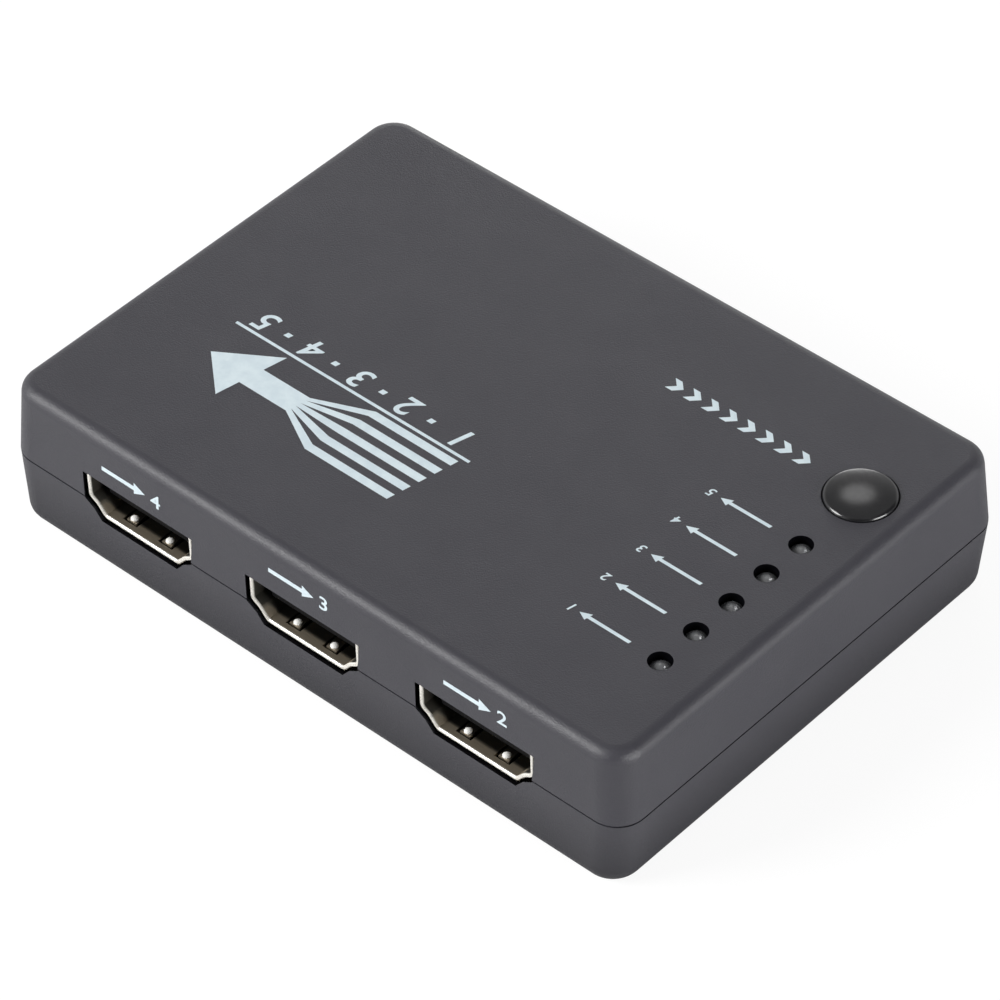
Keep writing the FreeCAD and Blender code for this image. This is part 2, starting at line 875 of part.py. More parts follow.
def chip_capacitors():
    first = chip_y - (chip_capacitor_count - 1) / 2 * chip_capacitor_pitch
    return group([centred_block(chip_capacitor_x, first + number * chip_capacitor_pitch, board_top,
                                chip_part_length, chip_part_width, chip_capacitor_height)
                  for number in range(chip_capacitor_count)])


def chip_resistors():
    """One resistor beside each lamp."""
    return group([centred_block(control_x - chip_resistor_gap, y, board_top,
                                chip_part_length, chip_part_width, chip_resistor_height)
                  for y in lamp_places])


def pieces():
    made = {
        "top_shell": top_shell(),
        "bottom_shell": bottom_shell(),
        "case_screws": case_screws(),
        "circuit_board": circuit_board(),
        "button_cap": button_cap(),
        "switch_housing": switch_housing(),
        "switch_cover": switch_cover(),
        "switch_plunger": switch_plunger(),
        "switch_dome": switch_dome(),
        "switch_terminals": switch_terminals(),
        "led_leads": lamp_leads(),
        "power_jack_housing": power_jack_housing(),
        "power_jack_pin": power_jack_pin(),
        "power_jack_contact": power_spring(0.0),
        "remote_jack_housing": remote_jack_housing(),
        "remote_jack_contacts": remote_jack_contacts(),
        "video_chip": video_chip(),
        "control_chip": control_chip(),
        "control_chip_leads": control_chip_leads(),
        "voltage_regulator": voltage_regulator(),
        "filter_capacitor": filter_capacitor(),
        "crystal": crystal(),
        "chip_capacitors": chip_capacitors(),
        "chip_resistors": chip_resistors(),
    }
    for number, y in enumerate(lamp_places, start=1):
        made[f"led_{number}"] = lamp(y)
    for name, (x, side) in socket_places.items():
        made[f"{name}_shell"] = socket_shell(x, side)
        made[f"{name}_insulator"] = socket_insulator(x, side)
        made[f"{name}_contacts"] = socket_contacts(x, side)
    return made


os.makedirs("parts", exist_ok=True)
for node, shape in pieces().items():
    shape.exportStep(f"parts/{node}.step")
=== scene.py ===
import json
import math

import bmesh
import bpy
from mathutils import Matrix, Vector


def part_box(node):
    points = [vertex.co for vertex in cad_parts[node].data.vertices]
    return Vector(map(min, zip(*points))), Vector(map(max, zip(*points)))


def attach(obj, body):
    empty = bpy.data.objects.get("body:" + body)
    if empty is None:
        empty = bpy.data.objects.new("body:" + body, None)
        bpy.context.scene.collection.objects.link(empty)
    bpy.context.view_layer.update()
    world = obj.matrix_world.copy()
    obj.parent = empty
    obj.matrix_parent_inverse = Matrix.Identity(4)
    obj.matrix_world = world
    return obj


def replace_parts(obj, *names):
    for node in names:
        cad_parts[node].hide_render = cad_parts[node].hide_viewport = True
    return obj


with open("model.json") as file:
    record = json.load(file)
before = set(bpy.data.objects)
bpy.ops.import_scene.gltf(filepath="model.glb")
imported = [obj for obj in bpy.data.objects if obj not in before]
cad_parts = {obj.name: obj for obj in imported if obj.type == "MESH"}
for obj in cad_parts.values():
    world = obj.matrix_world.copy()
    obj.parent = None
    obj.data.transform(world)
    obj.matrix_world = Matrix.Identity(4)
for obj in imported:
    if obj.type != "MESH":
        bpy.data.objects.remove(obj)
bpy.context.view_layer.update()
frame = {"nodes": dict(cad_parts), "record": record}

MM = 0.001
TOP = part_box("top_shell")[1].z
PARTING = 9.1 * MM
UPPER_WALL_FOOT = 9.3 * MM
UPPER_WALL_DRAFT = math.radians(3.8)
HALF_WIDTH = 29.1 * MM
BOARD_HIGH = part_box("circuit_board")[1]
SHEET = 0.4 * MM
SOCKET_FLOOR = BOARD_HIGH.z + SHEET
SOCKETS = ["socket_1", "socket_2", "socket_3", "socket_4", "socket_5", "socket_out"]
LAMPS = ["led_1", "led_2", "led_3", "led_4", "led_5"]


# Camera, from the photograph's outline and sockets

def make_camera():
    data = bpy.data.cameras.new("camera")
    data.sensor_width = 36.0
    data.lens = 184.63
    data.clip_start = 0.01
    camera = bpy.data.objects.new("camera", data)
    right = Vector((0.742855, 0.669107, -0.021476))
    down = Vector((0.448907, -0.521671, -0.725494))
    forward = Vector((-0.496637, 0.529296, -0.687893))
    turn = Matrix((right, -down, -forward)).transposed().to_4x4()
    camera.matrix_world = Matrix.Translation((0.258991, -0.276058, 0.365225)) @ turn
    bpy.context.scene.collection.objects.link(camera)
    bpy.context.scene.camera = camera


# Shader building blocks

def new_material(name):
    material = bpy.data.materials.new(name)
    material.use_nodes = True
    nodes = material.node_tree.nodes
    return material, nodes, material.node_tree.links, nodes["Principled BSDF"]


def maths(nodes, links, operation, first, second=0.0):
    """Math node whose inputs are sockets or plain numbers."""
    node = nodes.new("ShaderNodeMath")
    node.operation = operation
    for number, value in enumerate((first, second)):
        if isinstance(value, float):
            node.inputs[number].default_value = value
        else:
            links.new(value, node.inputs[number])
    return node.outputs["Value"]


def faded(nodes, links, value, near, far, low, high, smooth=False):
    """The value from near to far becomes low to high."""
    fade = nodes.new("ShaderNodeMapRange")
    if smooth:
        fade.interpolation_type = "SMOOTHSTEP"
    for name, number in (("From Min", near), ("From Max", far), ("To Min", low), ("To Max", high)):
        fade.inputs[name].default_value = number
    links.new(value, fade.inputs["Value"])
    return fade.outputs["Result"]


def object_place(nodes):
    return nodes.new("ShaderNodeTexCoord").outputs["Object"]


def split_place(nodes, links):
    """Place on the object in metres, as X, Y and Z outputs."""
    split = nodes.new("ShaderNodeSeparateXYZ")
    links.new(object_place(nodes), split.inputs["Vector"])
    return split.outputs


def noise(nodes, links, scale, detail=3.0, stretch=(1, 1, 1)):
    """Noise in metres of the object, so the grain has a real size."""
    mapping = nodes.new("ShaderNodeMapping")
    mapping.inputs["Scale"].default_value = stretch
    texture = nodes.new("ShaderNodeTexNoise")
    texture.inputs["Scale"].default_value = scale
    texture.inputs["Detail"].default_value = detail
    links.new(object_place(nodes), mapping.inputs["Vector"])
    links.new(mapping.outputs["Vector"], texture.inputs["Vector"])
    return texture.outputs["Fac"]


def varied(nodes, links, socket, factor, low, high):
    """Drives a number socket from the factor, between two values."""
    links.new(faded(nodes, links, factor, 0.3, 0.7, low, high), socket)


def mixed(nodes, links, socket, factor, first, second):
    """Drives a colour socket from the factor, between two colours."""
    ramp = nodes.new("ShaderNodeValToRGB")
    for element, position, colour in zip(ramp.color_ramp.elements, (0.35, 0.65), (first, second)):
        element.position = position
        element.color = (*colour, 1)
    links.new(factor, ramp.inputs["Fac"])
    links.new(ramp.outputs["Color"], socket)


def bumped(nodes, links, shader, height, strength, distance):
    bump = nodes.new("ShaderNodeBump")
    bump.inputs["Strength"].default_value = strength
    bump.inputs["Distance"].default_value = distance
    links.new(height, bump.inputs["Height"])
    links.new(bump.outputs["Normal"], shader.inputs["Normal"])


def surface(name, first, second, patch, rough, grain, strength, depth, metallic=0.0, specular=0.5):
    """Two close colours in patches, with a grain in height and roughness."""
    material, nodes, links, shader = new_material(name)
    shader.inputs["Metallic"].default_value = metallic
    shader.inputs["Specular IOR Level"].default_value = specular
    mixed(nodes, links, shader.inputs["Base Color"], noise(nodes, links, patch), first, second)
    fine = noise(nodes, links, grain, 4.0)
    varied(nodes, links, shader.inputs["Roughness"], fine, *rough)
    bumped(nodes, links, shader, fine, strength, depth)
    return material


def shaded(material, factor, colour):
    """Darkens the colour and the gloss of a material where the factor is high."""
    nodes, links = material.node_tree.nodes, material.node_tree.links
    shader = nodes["Principled BSDF"]
    tint = nodes.new("ShaderNodeMix")
    tint.data_type = "RGBA"
    tint.inputs[7].default_value = (*colour, 1)
    links.new(shader.inputs["Base Color"].links[0].from_socket, tint.inputs[6])
    links.new(factor, tint.inputs[0])
    links.new(tint.outputs[2], shader.inputs["Base Color"])
    links.new(faded(nodes, links, factor, 0, 1, 0.5, 0), shader.inputs["Specular IOR Level"])


# Materials

def shade_lamp_holes(material):
    """The walls of the lamp holes, which little light gets into."""
    hole_radius = 1.28 * MM
    nodes, links = material.node_tree.nodes, material.node_tree.links
    flat = nodes.new("ShaderNodeVectorMath")
    flat.operation = "MULTIPLY"
    flat.inputs[1].default_value = (1, 1, 0)
    links.new(object_place(nodes), flat.inputs[0])
    nearest = None
    for lamp in LAMPS:
        low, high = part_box(lamp)
        reach = nodes.new("ShaderNodeVectorMath")
        reach.operation = "DISTANCE"
        reach.inputs[1].default_value = ((low.x + high.x) / 2, (low.y + high.y) / 2, 0)
        links.new(flat.outputs["Vector"], reach.inputs[0])
        distance = reach.outputs["Value"]
        nearest = maths(nodes, links, "MINIMUM", nearest, distance) if nearest else distance
    inside = maths(nodes, links, "LESS_THAN", nearest, hole_radius)
    shaded(material, inside, (0.003, 0.003, 0.004))


def shade_foot(material):
    """Painted shade on the lower half: darker and less glossy towards the ground."""
    nodes, links = material.node_tree.nodes, material.node_tree.links
    height = split_place(nodes, links)["Z"]
    shaded(material, faded(nodes, links, height, 0, 8 * MM, 0.5, 0), (0.008, 0.008, 0.009))


def shade_board_edge(material):
    """Painted shade: the board's edge strip, darkened nearly to black where it shows through the
    gaps round the sockets.
    """
    nodes, links = material.node_tree.nodes, material.node_tree.links
    outward = maths(nodes, links, "ABSOLUTE", split_place(nodes, links)["Y"])
    edge = maths(nodes, links, "GREATER_THAN", outward, BOARD_HIGH.y - MM)
    shaded(material, edge, (0.004, 0.003, 0.002))


def lens_material():
    """Cloudy clear lens."""
    material, nodes, links, shader = new_material("lamp_lens")
    shader.inputs["IOR"].default_value = 1.5
    shader.inputs["Transmission Weight"].default_value = 0.75
    cloud = noise(nodes, links, 900)
    mixed(nodes, links, shader.inputs["Base Color"], cloud, (0.42, 0.43, 0.45), (0.55, 0.56, 0.58))
    varied(nodes, links, shader.inputs["Roughness"], noise(nodes, links, 2500), 0.08, 0.2)
    bumped(nodes, links, shader, noise(nodes, links, 1500), 0.1, 0.00002)
    return material


def steel_material():
    """Nickel plate of the shells, brownish: painted light low in the mouth, painted shade further
    in and higher up.
    """
    material, nodes, links, shader = new_material("socket_nickel")
    shader.inputs["Metallic"].default_value = 1.0
    place = split_place(nodes, links)
    outward = maths(nodes, links, "ABSOLUTE", place["Y"])
    # Painted light and shade: lighter near the mouth and low down, dark deeper in and higher up.
    near = faded(nodes, links, outward, 26.7 * MM, 27.9 * MM, 0, 1)
    low = faded(nodes, links, place["Z"], SOCKET_FLOOR + 0.3 * MM, SOCKET_FLOOR + 1.6 * MM, 1, 0.1)
    lit = maths(nodes, links, "MULTIPLY", near, low)
    mixed(nodes, links, shader.inputs["Base Color"], lit, (0.20, 0.19, 0.165), (0.62, 0.54, 0.42))
    varied(nodes, links, shader.inputs["Roughness"], near, 0.28, 0.5)
    bumped(nodes, links, shader, noise(nodes, links, 3000, 4.0, (1, 0.3, 1)), 0.1, 0.00001)
    return material


def board_material():
    """Green solder mask with copper tracks that show through as a paler pattern."""
    material, nodes, links, shader = new_material("board")
    tracks = nodes.new("ShaderNodeTexBrick")
    tracks.inputs["Scale"].default_value = 260
    tracks.inputs["Color1"].default_value = (0.002, 0.022, 0.008, 1)
    tracks.inputs["Color2"].default_value = (0.003, 0.03, 0.01, 1)
    tracks.inputs["Mortar"].default_value = (0.005, 0.055, 0.018, 1)
    tracks.inputs["Mortar Size"].default_value = 0.03
    links.new(object_place(nodes), tracks.inputs["Vector"])
    links.new(tracks.outputs["Color"], shader.inputs["Base Color"])
    varied(nodes, links, shader.inputs["Roughness"], noise(nodes, links, 3000), 0.25, 0.4)
    bumped(nodes, links, shader, tracks.outputs["Fac"], 0.3, 0.00003)
    return material


# Each: two colours, patch scale, roughness range, grain scale, bump strength and depth, and where
# they aren't the usual ones, metallic and specular
CASE = surface("case_plastic", (0.0385, 0.0375, 0.0465), (0.0425, 0.0415, 0.0505),
               160, (0.38, 0.50), 6500, 0.75, 0.00006)
# The lower half's plastic is a darker copy of the case plastic: painted shade.
LOWER_SHADED = surface("case_plastic_lower_shaded", (0.0355, 0.0345, 0.043), (0.039, 0.038, 0.0465),
                160, (0.40, 0.52), 6500, 0.75, 0.00006)
BUTTON = surface("button_plastic", (0.010, 0.010, 0.011), (0.013, 0.013, 0.014),
                 300, (0.17, 0.23), 2500, 0.05, 0.00002, 0.0, 0.7)
# The bumps' silver plate, near-white and matt so that its colour also gives their bright
# highlight: partly painted highlight.
DIMPLE = surface("satin_silver_and_highlight", (0.95, 0.94, 0.90), (0.98, 0.97, 0.94),
                 1500, (0.35, 0.5), 5000, 0.05, 0.00001)
BLACK = surface("black_moulding", (0.006, 0.006, 0.0065), (0.009, 0.009, 0.0095),
                500, (0.5, 0.65), 6000, 0.25, 0.00003, 0.0, 0.03)
GOLD = surface("contact_gold", (0.80, 0.60, 0.28), (0.86, 0.68, 0.34),
               900, (0.18, 0.3), 6000, 0.1, 0.00001, 1.0)
TIN = surface("tin_plate", (0.62, 0.62, 0.61), (0.70, 0.70, 0.69),
              800, (0.25, 0.4), 5000, 0.15, 0.00002, 1.0)
SCREW = surface("screw_zinc", (0.12, 0.12, 0.125), (0.17, 0.17, 0.175),
                900, (0.3, 0.45), 6000, 0.2, 0.00002, 1.0)
CHIP = surface("chip_epoxy", (0.016, 0.016, 0.017), (0.022, 0.022, 0.023),
               900, (0.5, 0.65), 8000, 0.3, 0.00003)
AMBER = surface("capacitor_epoxy", (0.55, 0.36, 0.08), (0.62, 0.42, 0.11),
                700, (0.4, 0.5), 5000, 0.15, 0.00003)
CERAMIC = surface("ceramic_body", (0.30, 0.20, 0.11), (0.38, 0.27, 0.16),
                  900, (0.4, 0.55), 6000, 0.2, 0.00003)
PRINT = surface("print_ink", (0.60, 0.70, 0.75), (0.67, 0.77, 0.81),
                900, (0.4, 0.55), 6000, 0.2, 0.00002)
RIM = surface("rim_nickel", (0.84, 0.81, 0.74), (0.90, 0.87, 0.80),
              1500, (0.25, 0.35), 5000, 0.05, 0.00001, 0.35)
STEEL = steel_material()
LENS = lens_material()
BOARD = board_material()
BY_SLOT = {"case": CASE, "button": BUTTON, "socket_steel": STEEL, "black_plastic": BLACK,
           "contact": GOLD, "board": BOARD, "lamp": LENS, "tinned": TIN, "screw_steel": SCREW,
           "chip": CHIP, "capacitor": AMBER, "ceramic": CERAMIC}
shade_lamp_holes(CASE)
shade_foot(LOWER_SHADED)
shade_board_edge(BOARD)


def dress_nodes():
    for part in frame["record"]["subparts"]:
        mesh = frame["nodes"][part["node"]].data
        mesh.materials.clear()
        mesh.materials.append(BY_SLOT[part["material_slot"]])


# Mesh building blocks

def piece(mesh, material, body):
    """Object with the mesh's own name, which moves with the body."""
    item = bpy.data.objects.new(mesh.name, mesh)
    bpy.context.scene.collection.objects.link(item)
    mesh.materials.clear()
    mesh.materials.append(material)
    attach(item, body)
    return item


def spun(bm, profile, centre, steps=64):
    """Adds a turned form from (radius, height) points that begin and end on the axis."""
    rings = []
    for radius, height in profile:
        if radius == 0:
            rings.append([bm.verts.new((*centre, height))])
            continue
        ring = []
        for step in range(steps):
            angle = 2 * math.pi * step / steps
            x = centre[0] + radius * math.cos(angle)
            y = centre[1] + radius * math.sin(angle)
            ring.append(bm.verts.new((x, y, height)))
        rings.append(ring)
    for upper, lower in zip(rings[:-1], rings[1:]):
        for step in range(steps):
            after = (step + 1) % steps
            corners = [upper[step % len(upper)], lower[step % len(lower)],
                       lower[after % len(lower)], upper[after % len(upper)]]
            bm.faces.new(list(dict.fromkeys(corners)))


def domed(radius, crest, fall, power, steps):
    """Profile for spun, from the crest on the axis down to the radius."""
    shares = [step / steps for step in range(steps + 1)]
    return [(radius * share, crest - fall * share ** power) for share in shares]


def smooth_mesh(name, bm, angle=35):
    bmesh.ops.recalc_face_normals(bm, faces=bm.faces)
    mesh = bpy.data.meshes.new(name)
    bm.to_mesh(mesh)
    bm.free()
    mesh.polygons.foreach_set("use_smooth", [True] * len(mesh.polygons))
    mesh.set_sharp_from_angle(angle=math.radians(angle))
    return mesh


def add_box(bm, low, high):
    middle = (Vector(low) + Vector(high)) / 2
    size = Vector(high) - Vector(low)
    place = Matrix.Translation(middle) @ Matrix.Diagonal((*size, 1))
    bmesh.ops.create_cube(bm, size=1, matrix=place)


def socket_mouths():
    """Each socket's name, its middle along X, the side it faces and its front edge along Y."""
    for socket in SOCKETS:
        low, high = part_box(f"{socket}_shell")
        side = 1 if low.y > 0 else -1
        yield socket, (low.x + high.x) / 2, side, high.y if side > 0 else low.y


# Pieces

def make_lower_case():
    """Lower half of the case, its wall under the button end leaning in towards the foot."""
    lean = 0.66 * MM
    wall_start = 38.0 * MM
    boss = Vector((36.0, 23.5)) * MM
    boss_reach = 2.75 * MM
    mesh = frame["nodes"]["bottom_shell"].data.copy()
    mesh.name = "lower_case"
    for vertex in mesh.vertices:
        x, y, z = vertex.co
        in_boss = (Vector((x, abs(y))) - boss).length < boss_reach
        if x > wall_start and z < PARTING and not in_boss:
            vertex.co.x -= lean * (1 - z / PARTING)
    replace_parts(piece(mesh, LOWER_SHADED, "case"), "bottom_shell")


def make_button():
    """Glossy domed cap with its wings and stem."""
    low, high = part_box("button_cap")
    x = (low.x + high.x) / 2
    y = (low.y + high.y) / 2
    radius = (high.x - low.x) / 2
    crown = 0.33 * MM
    rounding = 0.6 * MM
    drop = 0.45 * MM
    start = math.radians(16)
    shoulder = radius - rounding * (1 - math.sin(start))
    skirt_foot = low.z + 1.1 * MM
    crest = high.z - 0.01 * MM
    profile = domed(shoulder, crest, crown, 2.4, 24)
    edge_steps = 8
    for step in range(1, edge_steps + 1):
        angle = start + (math.pi / 2 - start) * step / edge_steps
        height = crest - crown - drop * (math.cos(start) - math.cos(angle))
        profile.append((radius - rounding * (1 - math.sin(angle)), height))
    profile += [(radius, skirt_foot), (0, skirt_foot)]
    bm = bmesh.new()
    spun(bm, profile, (x, y), 96)
    wing = 2 * MM
    stem = 1.5 * MM
    add_box(bm, (x - wing, low.y, low.z + 1.0 * MM), (x + wing, high.y, low.z + 1.8 * MM))
    add_box(bm, (x - stem, y - stem, low.z), (x + stem, y + stem, skirt_foot + 0.05 * MM))
    cap = piece(smooth_mesh("button_dome", bm), BUTTON, "select_button")
    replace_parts(cap, "button_cap")


def make_lamps():
    """Lenses with a low dome, each round a small bright chip cup."""
    dome = 0.42 * MM
    for lamp in LAMPS:
        low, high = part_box(lamp)
        centre = ((low.x + high.x) / 2, (low.y + high.y) / 2)
        radius = (high.x - low.x) / 2
        profile = domed(radius, high.z, dome, 2.2, 8) + [(radius, low.z), (0, low.z)]
        bm = bmesh.new()
        spun(bm, profile, centre, 40)
        lens = piece(smooth_mesh(f"{lamp}_lens", bm), LENS, "case")
        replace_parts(lens, lamp)
        cup = high.z - 0.9 * MM
        section = [(0, -0.3), (0.35, -0.25), (0.7, 0), (0.75, -0.05), (0.45, -1.5), (0, -1.5)]
        bm = bmesh.new()
        spun(bm, [(across * MM, cup + height * MM) for across, height in section], centre, 24)
        piece(smooth_mesh(f"{lamp}_cup", bm), TIN, "case")


def make_dimples():
    """Small pressed bumps on the two lower spring fingers of each socket."""
    finger = SOCKET_FLOOR + 0.14 * MM
    crest = finger + 0.22 * MM
    foot = finger - 0.1 * MM
    curve = 0.58 * MM
    spread = 2.5 * MM
    setback = 1.5 * MM
    turns = [math.radians(angle) for angle in range(0, 51, 10)]
    profile = [(curve * math.sin(turn), crest - curve * (1 - math.cos(turn))) for turn in turns]
    profile += [(profile[-1][0], foot), (0, foot)]
    for socket, x, side, front in socket_mouths():
        bm = bmesh.new()
        for step in (-1, 1):
            spun(bm, profile, (x + step * spread, front - side * setback), 24)
        piece(smooth_mesh(f"{socket}_dimples", bm), DIMPLE, "case")


def rounded(points, radius, steps=5):
    """Closed outline with each corner replaced by a short curve."""
    path = []
    for number, here in enumerate(points):
        here = Vector(here)
        before = Vector(points[number - 1]) - here
        after = Vector(points[(number + 1) % len(points)]) - here
        reach = min(radius, before.length / 2, after.length / 2)
        start = here + before.normalized() * reach
        end = here + after.normalized() * reach
        for step in range(steps + 1):
            share = step / steps
            rest = 1 - share
            path.append(start * rest ** 2 + here * 2 * share * rest + end * share ** 2)
    return path


def make_rims():
    """Polished front edge of each metal shell, with the soft corners of bent sheet."""
    right = [(7.0, 4.55), (7.0, 1.75), (6.0, 1.13), (5.05, 0.0)]
    outline = [(u * MM, v * MM) for u, v in right + [(-u, v) for u, v in reversed(right)]]
    section = [(-0.04, 0.12), (-0.04, 0.0), (0.06, -0.1), (0.3, -0.1), (0.37, -0.03), (0.37, 0.12)]
    inner = rounded(outline, 0.3 * MM)
    count = len(inner)
    outward = []
    for number in range(count):
        run = inner[(number + 1) % count] - inner[number - 1]
        outward.append(Vector((-run.y, run.x)).normalized())
    for socket, x, side, front in socket_mouths():
        bm = bmesh.new()
        rings = []
        for across, depth in section:
            path = [point + normal * across * MM for point, normal in zip(inner, outward)]
            y = front - side * depth * MM
            rings.append([bm.verts.new((x + u, y, SOCKET_FLOOR + v)) for u, v in path])
        for first, second in zip(rings, rings[1:] + rings[:1]):
            for here in range(count):
                after = (here + 1) % count
                bm.faces.new((first[here], first[after], second[after], second[here]))
        piece(smooth_mesh(f"{socket}_rim", bm), RIM, "case")


def make_screw_heads():
    """Screw heads with a cross recess, over the plain heads."""
    low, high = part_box("case_screws")
    head = 2.0 * MM
    recess = 0.8 * MM
    profile = [(0, recess + 1.3 * MM), (head * 0.98, recess + 1.3 * MM),
               (head * 0.99, recess + 0.25 * MM), (head * 0.85, recess + 0.02 * MM),
               (0.95 * MM, recess), (0.9 * MM, recess + 0.7 * MM), (0, recess + 0.9 * MM)]
    quarter = (Matrix.Translation((0.68 * MM, 0, 0.01 * MM))
               @ Matrix.Diagonal((0.6 * MM, 0.6 * MM, 0.86 * MM, 1)))
    places = ((low.x + head, high.y - head), (high.x - head, low.y + head))
    for number, (x, y) in enumerate(places, start=1):
        bm = bmesh.new()
        spun(bm, profile, (x, y), 40)
        for turn in range(4):
            spin = Matrix.Rotation(math.radians(45 + 90 * turn), 4, "Z")
            middle = Matrix.Translation((x, y, recess + 0.45 * MM))
            bmesh.ops.create_cube(bm, size=1, matrix=middle @ spin @ quarter)
        piece(smooth_mesh(f"screw_head_{number}", bm), SCREW, "case")


# Print: numerals, rules and plain marks only

def flat_mesh(name, outlines, height=0.012 * MM):
    """Thin raised shapes from closed (u, v) outlines in the XY plane."""
    bm = bmesh.new()
    for outline in outlines:
        lower = [bm.verts.new((u, v, 0)) for u, v in outline]
        upper = [bm.verts.new((u, v, height)) for u, v in outline]
        bm.faces.new(upper)
        bm.faces.new(lower[::-1])
        for here in range(len(outline)):
            there = (here + 1) % len(outline)
            bm.faces.new((lower[here], lower[there], upper[there], upper[here]))
    return smooth_mesh(name, bm, 20)


def numeral(name, text, size, place, width=1.0, shear=0.0):
    """Built-in font numeral as a thin mesh, its lower left corner at the place."""
    half_height = 0.006 * MM
    curve = bpy.data.curves.new(name, "FONT")
    curve.body = text
    curve.size = size
    curve.shear = shear
    curve.extrude = half_height
    curve.offset = 0.012 * size
    curve.resolution_u = 4
    holder = bpy.data.objects.new(name, curve)
    bpy.context.scene.collection.objects.link(holder)
    bpy.context.view_layer.update()
    graph = bpy.context.evaluated_depsgraph_get()
    mesh = bpy.data.meshes.new_from_object(holder.evaluated_get(graph))
    mesh.name = name
    bpy.data.objects.remove(holder)
    low_u = min(v.co.x for v in mesh.vertices)
    low_v = min(v.co.y for v in mesh.vertices)
    shift = Matrix.Translation((*place, half_height)) @ Matrix.Diagonal((width, 1, 1, 1))
    mesh.transform(shift @ Matrix.Translation((-low_u, -low_v, 0)))
    return mesh


def bar(u0, v0, u1, v1, lean=0.0):
    slip = lean * (v1 - v0)
    return [(u0, v0), (u1, v0), (u1 + slip, v1), (u0 + slip, v1)]


def slanted(shapes, lean):
    return [[(u + lean * v, v) for u, v in shape] for shape in shapes]


def print_piece(mesh, matrix):
    mesh.transform(matrix)
    piece(mesh, PRINT, "case")


def top_matrix(x, y):
    """Print on the top reads from the +Y side: its line runs towards -X."""
    return Matrix.Translation((x, y, TOP)) @ Matrix.Rotation(math.pi, 4, "Z")


def wall_matrix(left, z, back):
    """Print on a long wall of the upper half, which leans back."""
    y = -HALF_WIDTH + math.tan(UPPER_WALL_DRAFT) * (z - UPPER_WALL_FOOT)
    tilt = Matrix.Rotation(math.pi / 2 - UPPER_WALL_DRAFT, 4, "X")
    wall = Matrix.Translation((left, y, z)) @ tilt
    return Matrix.Rotation(math.pi, 4, "Z") @ wall if back else wall


def input_mark(size, length, lean=0.0):
    """Arrow drawn along +u."""
    middle = size / 2
    stroke = 0.36 * size
    neck = length - 1.1 * size
    head = [(neck, 0), (length, middle), (neck, size)]
    return slanted([bar(0, middle - stroke / 2, neck, middle + stroke / 2), head], lean)


def merge_symbol(length, height):
    """Five lanes that join into one broad arrow, drawn along +u."""
    lane = height / 9
    stem = 0.34 * height
    low = (height - stem) / 2
    split = 0.36 * length
    join = 0.55 * length
    head = 0.76 * length
    shapes = []
    for number in range(5):
        v = 2 * lane * number
        into = low + stem * number / 5
        edge = into + stem / 5
        shapes.append([(0, v), (split, v), (join, into), (head, into),
                       (head, edge), (join, edge), (split, v + lane), (0, v + lane)])
    shapes.append([(head, 0), (length - 0.2 * height, height / 2), (head, height)])
    return slanted(shapes, 0.2)


def print_title():
    """Lanes into an arrow, a rule, and the numerals with dots between them."""
    symbol = flat_mesh("print_symbol", merge_symbol(31.0 * MM, 8.6 * MM))
    print_piece(symbol, top_matrix(1.6 * MM, -7.6 * MM))
    rule = flat_mesh("print_rule", [bar(0, 0, 32.2 * MM, 0.35 * MM)])
    print_piece(rule, top_matrix(2.5 * MM, -6.8 * MM))
    line = top_matrix(0.2 * MM, -3.6 * MM)
    pitch = 6.6 * MM
    for number in range(1, 6):
        place = (pitch * (number - 1), 0)
        mesh = numeral(f"print_number_{number}", str(number), 3.9 * MM, place, 1.1, 0.25)
        print_piece(mesh, line)
    dots = []
    for number in range(4):
        start = pitch * number + 4.2 * MM
        dots.append(bar(start, 1.1 * MM, start + 0.7 * MM, 1.7 * MM, 0.25))
    print_piece(flat_mesh("print_dots", dots), line)


def print_chevrons():
    pitch = 2.36
    chevron = [(0, 0.85), (0.85, 1.7), (1.75, 1.7), (0.9, 0.85), (1.75, 0), (0.85, 0)]
    chevrons = [[((u + pitch * step) * MM, v * MM) for u, v in chevron] for step in range(8)]
    print_piece(flat_mesh("print_select", chevrons), top_matrix(28.2 * MM, 15.8 * MM))


def print_lamp_marks():
    for number, lamp in enumerate(LAMPS, start=1):
        low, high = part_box(lamp)
        place = top_matrix(31.2 * MM, (low.y + high.y) / 2 + 0.5 * MM)
        mark = flat_mesh(f"print_lamp_mark_{number}", input_mark(1.05 * MM, 6.4 * MM, 0.2))
        print_piece(mark, place)
        mesh = numeral(f"print_lamp_{number}", str(number), 1.5 * MM, (7.3 * MM, 0), 1.1, 0.2)
        print_piece(mesh, place)


def print_port_marks():
    # Each: input, left end and height in millimetres, whether on the far side
    ports = ((4, -27.7, 13.75, False), (3, -4.5, 14.25, False), (2, 18.8, 14.05, False),
             (5, -27.7, 14.1, True), (1, 18.8, 14.1, True))
    for number, left, z, back in ports:
        place = wall_matrix(left * MM, z * MM, back)
        mark = flat_mesh(f"print_port_mark_{number}", input_mark(1.4 * MM, 6.1 * MM))
        print_piece(mark, place)
        start = (6.9 * MM, -0.1 * MM)
        mesh = numeral(f"print_port_{number}", str(number), 2.3 * MM, start, 1.2)
        print_piece(mesh, place)


# Stage and light

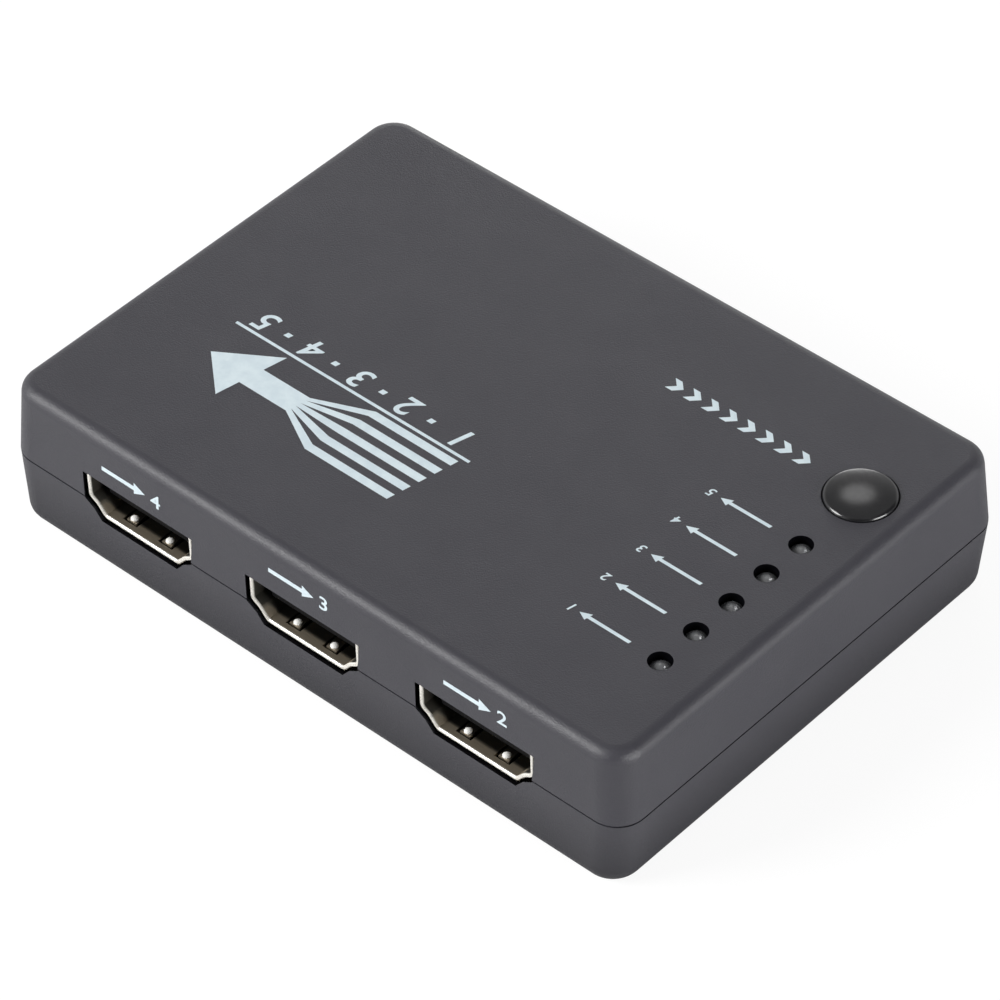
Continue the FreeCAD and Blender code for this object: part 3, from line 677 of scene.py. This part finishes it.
def make_floor():
    """White floor that keeps a soft shadow. It is clear from below, to show the underside."""
    camera_share = 0.82
    glossy_share = 0.1
    contact = 0.2 * MM
    bm = bmesh.new()
    bmesh.ops.create_grid(bm, x_segments=1, y_segments=1, size=4)
    mesh = bpy.data.meshes.new("floor")
    bm.to_mesh(mesh)
    bm.free()
    floor = bpy.data.objects.new("floor", mesh)
    floor.location.z = -0.05 * MM
    bpy.context.scene.collection.objects.link(floor)
    material, nodes, links, shader = new_material("floor")
    first, second = (0.74, 0.74, 0.74), (0.78, 0.78, 0.78)
    mixed(nodes, links, shader.inputs["Base Color"], noise(nodes, links, 3), first, second)
    shader.inputs["Roughness"].default_value = 0.8
    shader.inputs["Specular IOR Level"].default_value = 0.2
    glow = nodes.new("ShaderNodeEmission")
    glow.inputs["Color"].default_value = (1, 1, 1, 1)
    glow.inputs["Strength"].default_value = 1.1
    path = nodes.new("ShaderNodeLightPath").outputs
    seen = maths(nodes, links, "MULTIPLY", path["Is Camera Ray"], camera_share)
    mirrored = maths(nodes, links, "MULTIPLY", path["Is Glossy Ray"], glossy_share)
    white = maths(nodes, links, "ADD", seen, mirrored)
    white = maths(nodes, links, "MAXIMUM", white, path["Is Transmission Ray"])
    backfacing = nodes.new("ShaderNodeNewGeometry").outputs["Backfacing"]
    close = maths(nodes, links, "LESS_THAN", path["Ray Length"], contact)
    clear = nodes.new("ShaderNodeBsdfTransparent").outputs["BSDF"]
    result = shader.outputs["BSDF"]
    unseen = maths(nodes, links, "MAXIMUM", close, backfacing)
    for factor, other in ((white, glow.outputs["Emission"]), (unseen, clear)):
        blend = nodes.new("ShaderNodeMixShader")
        links.new(factor, blend.inputs["Fac"])
        links.new(result, blend.inputs[1])
        links.new(other, blend.inputs[2])
        result = blend.outputs["Shader"]
    links.new(result, nodes["Material Output"].inputs["Surface"])
    mesh.materials.append(material)


def make_world():
    """Pale surroundings, dim overhead and dark at the far right and before the near corner."""
    world = bpy.data.worlds.new("studio")
    bpy.context.scene.world = world
    world.use_nodes = True
    nodes, links = world.node_tree.nodes, world.node_tree.links
    place = nodes.new("ShaderNodeTexCoord")
    # Each: direction, where its fade starts and ends, strength before and after
    fades = (((0, 0, 1), 0.2, 0.75, 0.85, 0.28),
             ((0.688, 0.529, 0.497), 0.76, 0.93, 1.0, 0.04),
             ((0.68, -0.70, 0.2), 0.6, 0.9, 1.0, 0.03))
    strength = 1.0
    for axis, near, far, low, high in fades:
        side = nodes.new("ShaderNodeVectorMath")
        side.operation = "DOT_PRODUCT"
        side.inputs[1].default_value = Vector(axis).normalized()
        links.new(place.outputs["Generated"], side.inputs[0])
        level = faded(nodes, links, side.outputs["Value"], near, far, low, high, smooth=True)
        strength = maths(nodes, links, "MULTIPLY", strength, level)
    links.new(strength, nodes["Background"].inputs["Strength"])
    nodes["Background"].inputs["Color"].default_value = (1, 1, 1, 1)


def make_light(name, direction, distance, size, power):
    data = bpy.data.lights.new(name, "AREA")
    data.shape = "DISK"
    data.size = size
    data.energy = power
    light = bpy.data.objects.new(name, data)
    towards = Vector(direction).normalized()
    light.location = towards * distance
    light.rotation_euler = (-towards).to_track_quat("-Z", "Y").to_euler()
    bpy.context.scene.collection.objects.link(light)


make_camera()
dress_nodes()
make_lower_case()
make_button()
make_lamps()
make_dimples()
make_rims()
make_screw_heads()
print_title()
print_chevrons()
print_lamp_marks()
print_port_marks()
make_floor()
make_world()
make_light("front_softbox", (-0.5, -0.69, 0.53), 1.1, 0.6, 11.8)
make_light("top_softbox", (-0.409, 0.528, 0.743), 1.3, 0.34, 0.58)
make_light("side_softbox", (0.97, 0.06, 0.13), 1.2, 0.85, 18.5)
make_light("rear_softbox", (-0.6, 0.74, 0.14), 1.3, 0.5, 1.8)
bpy.context.scene.view_settings.view_transform = "Standard"
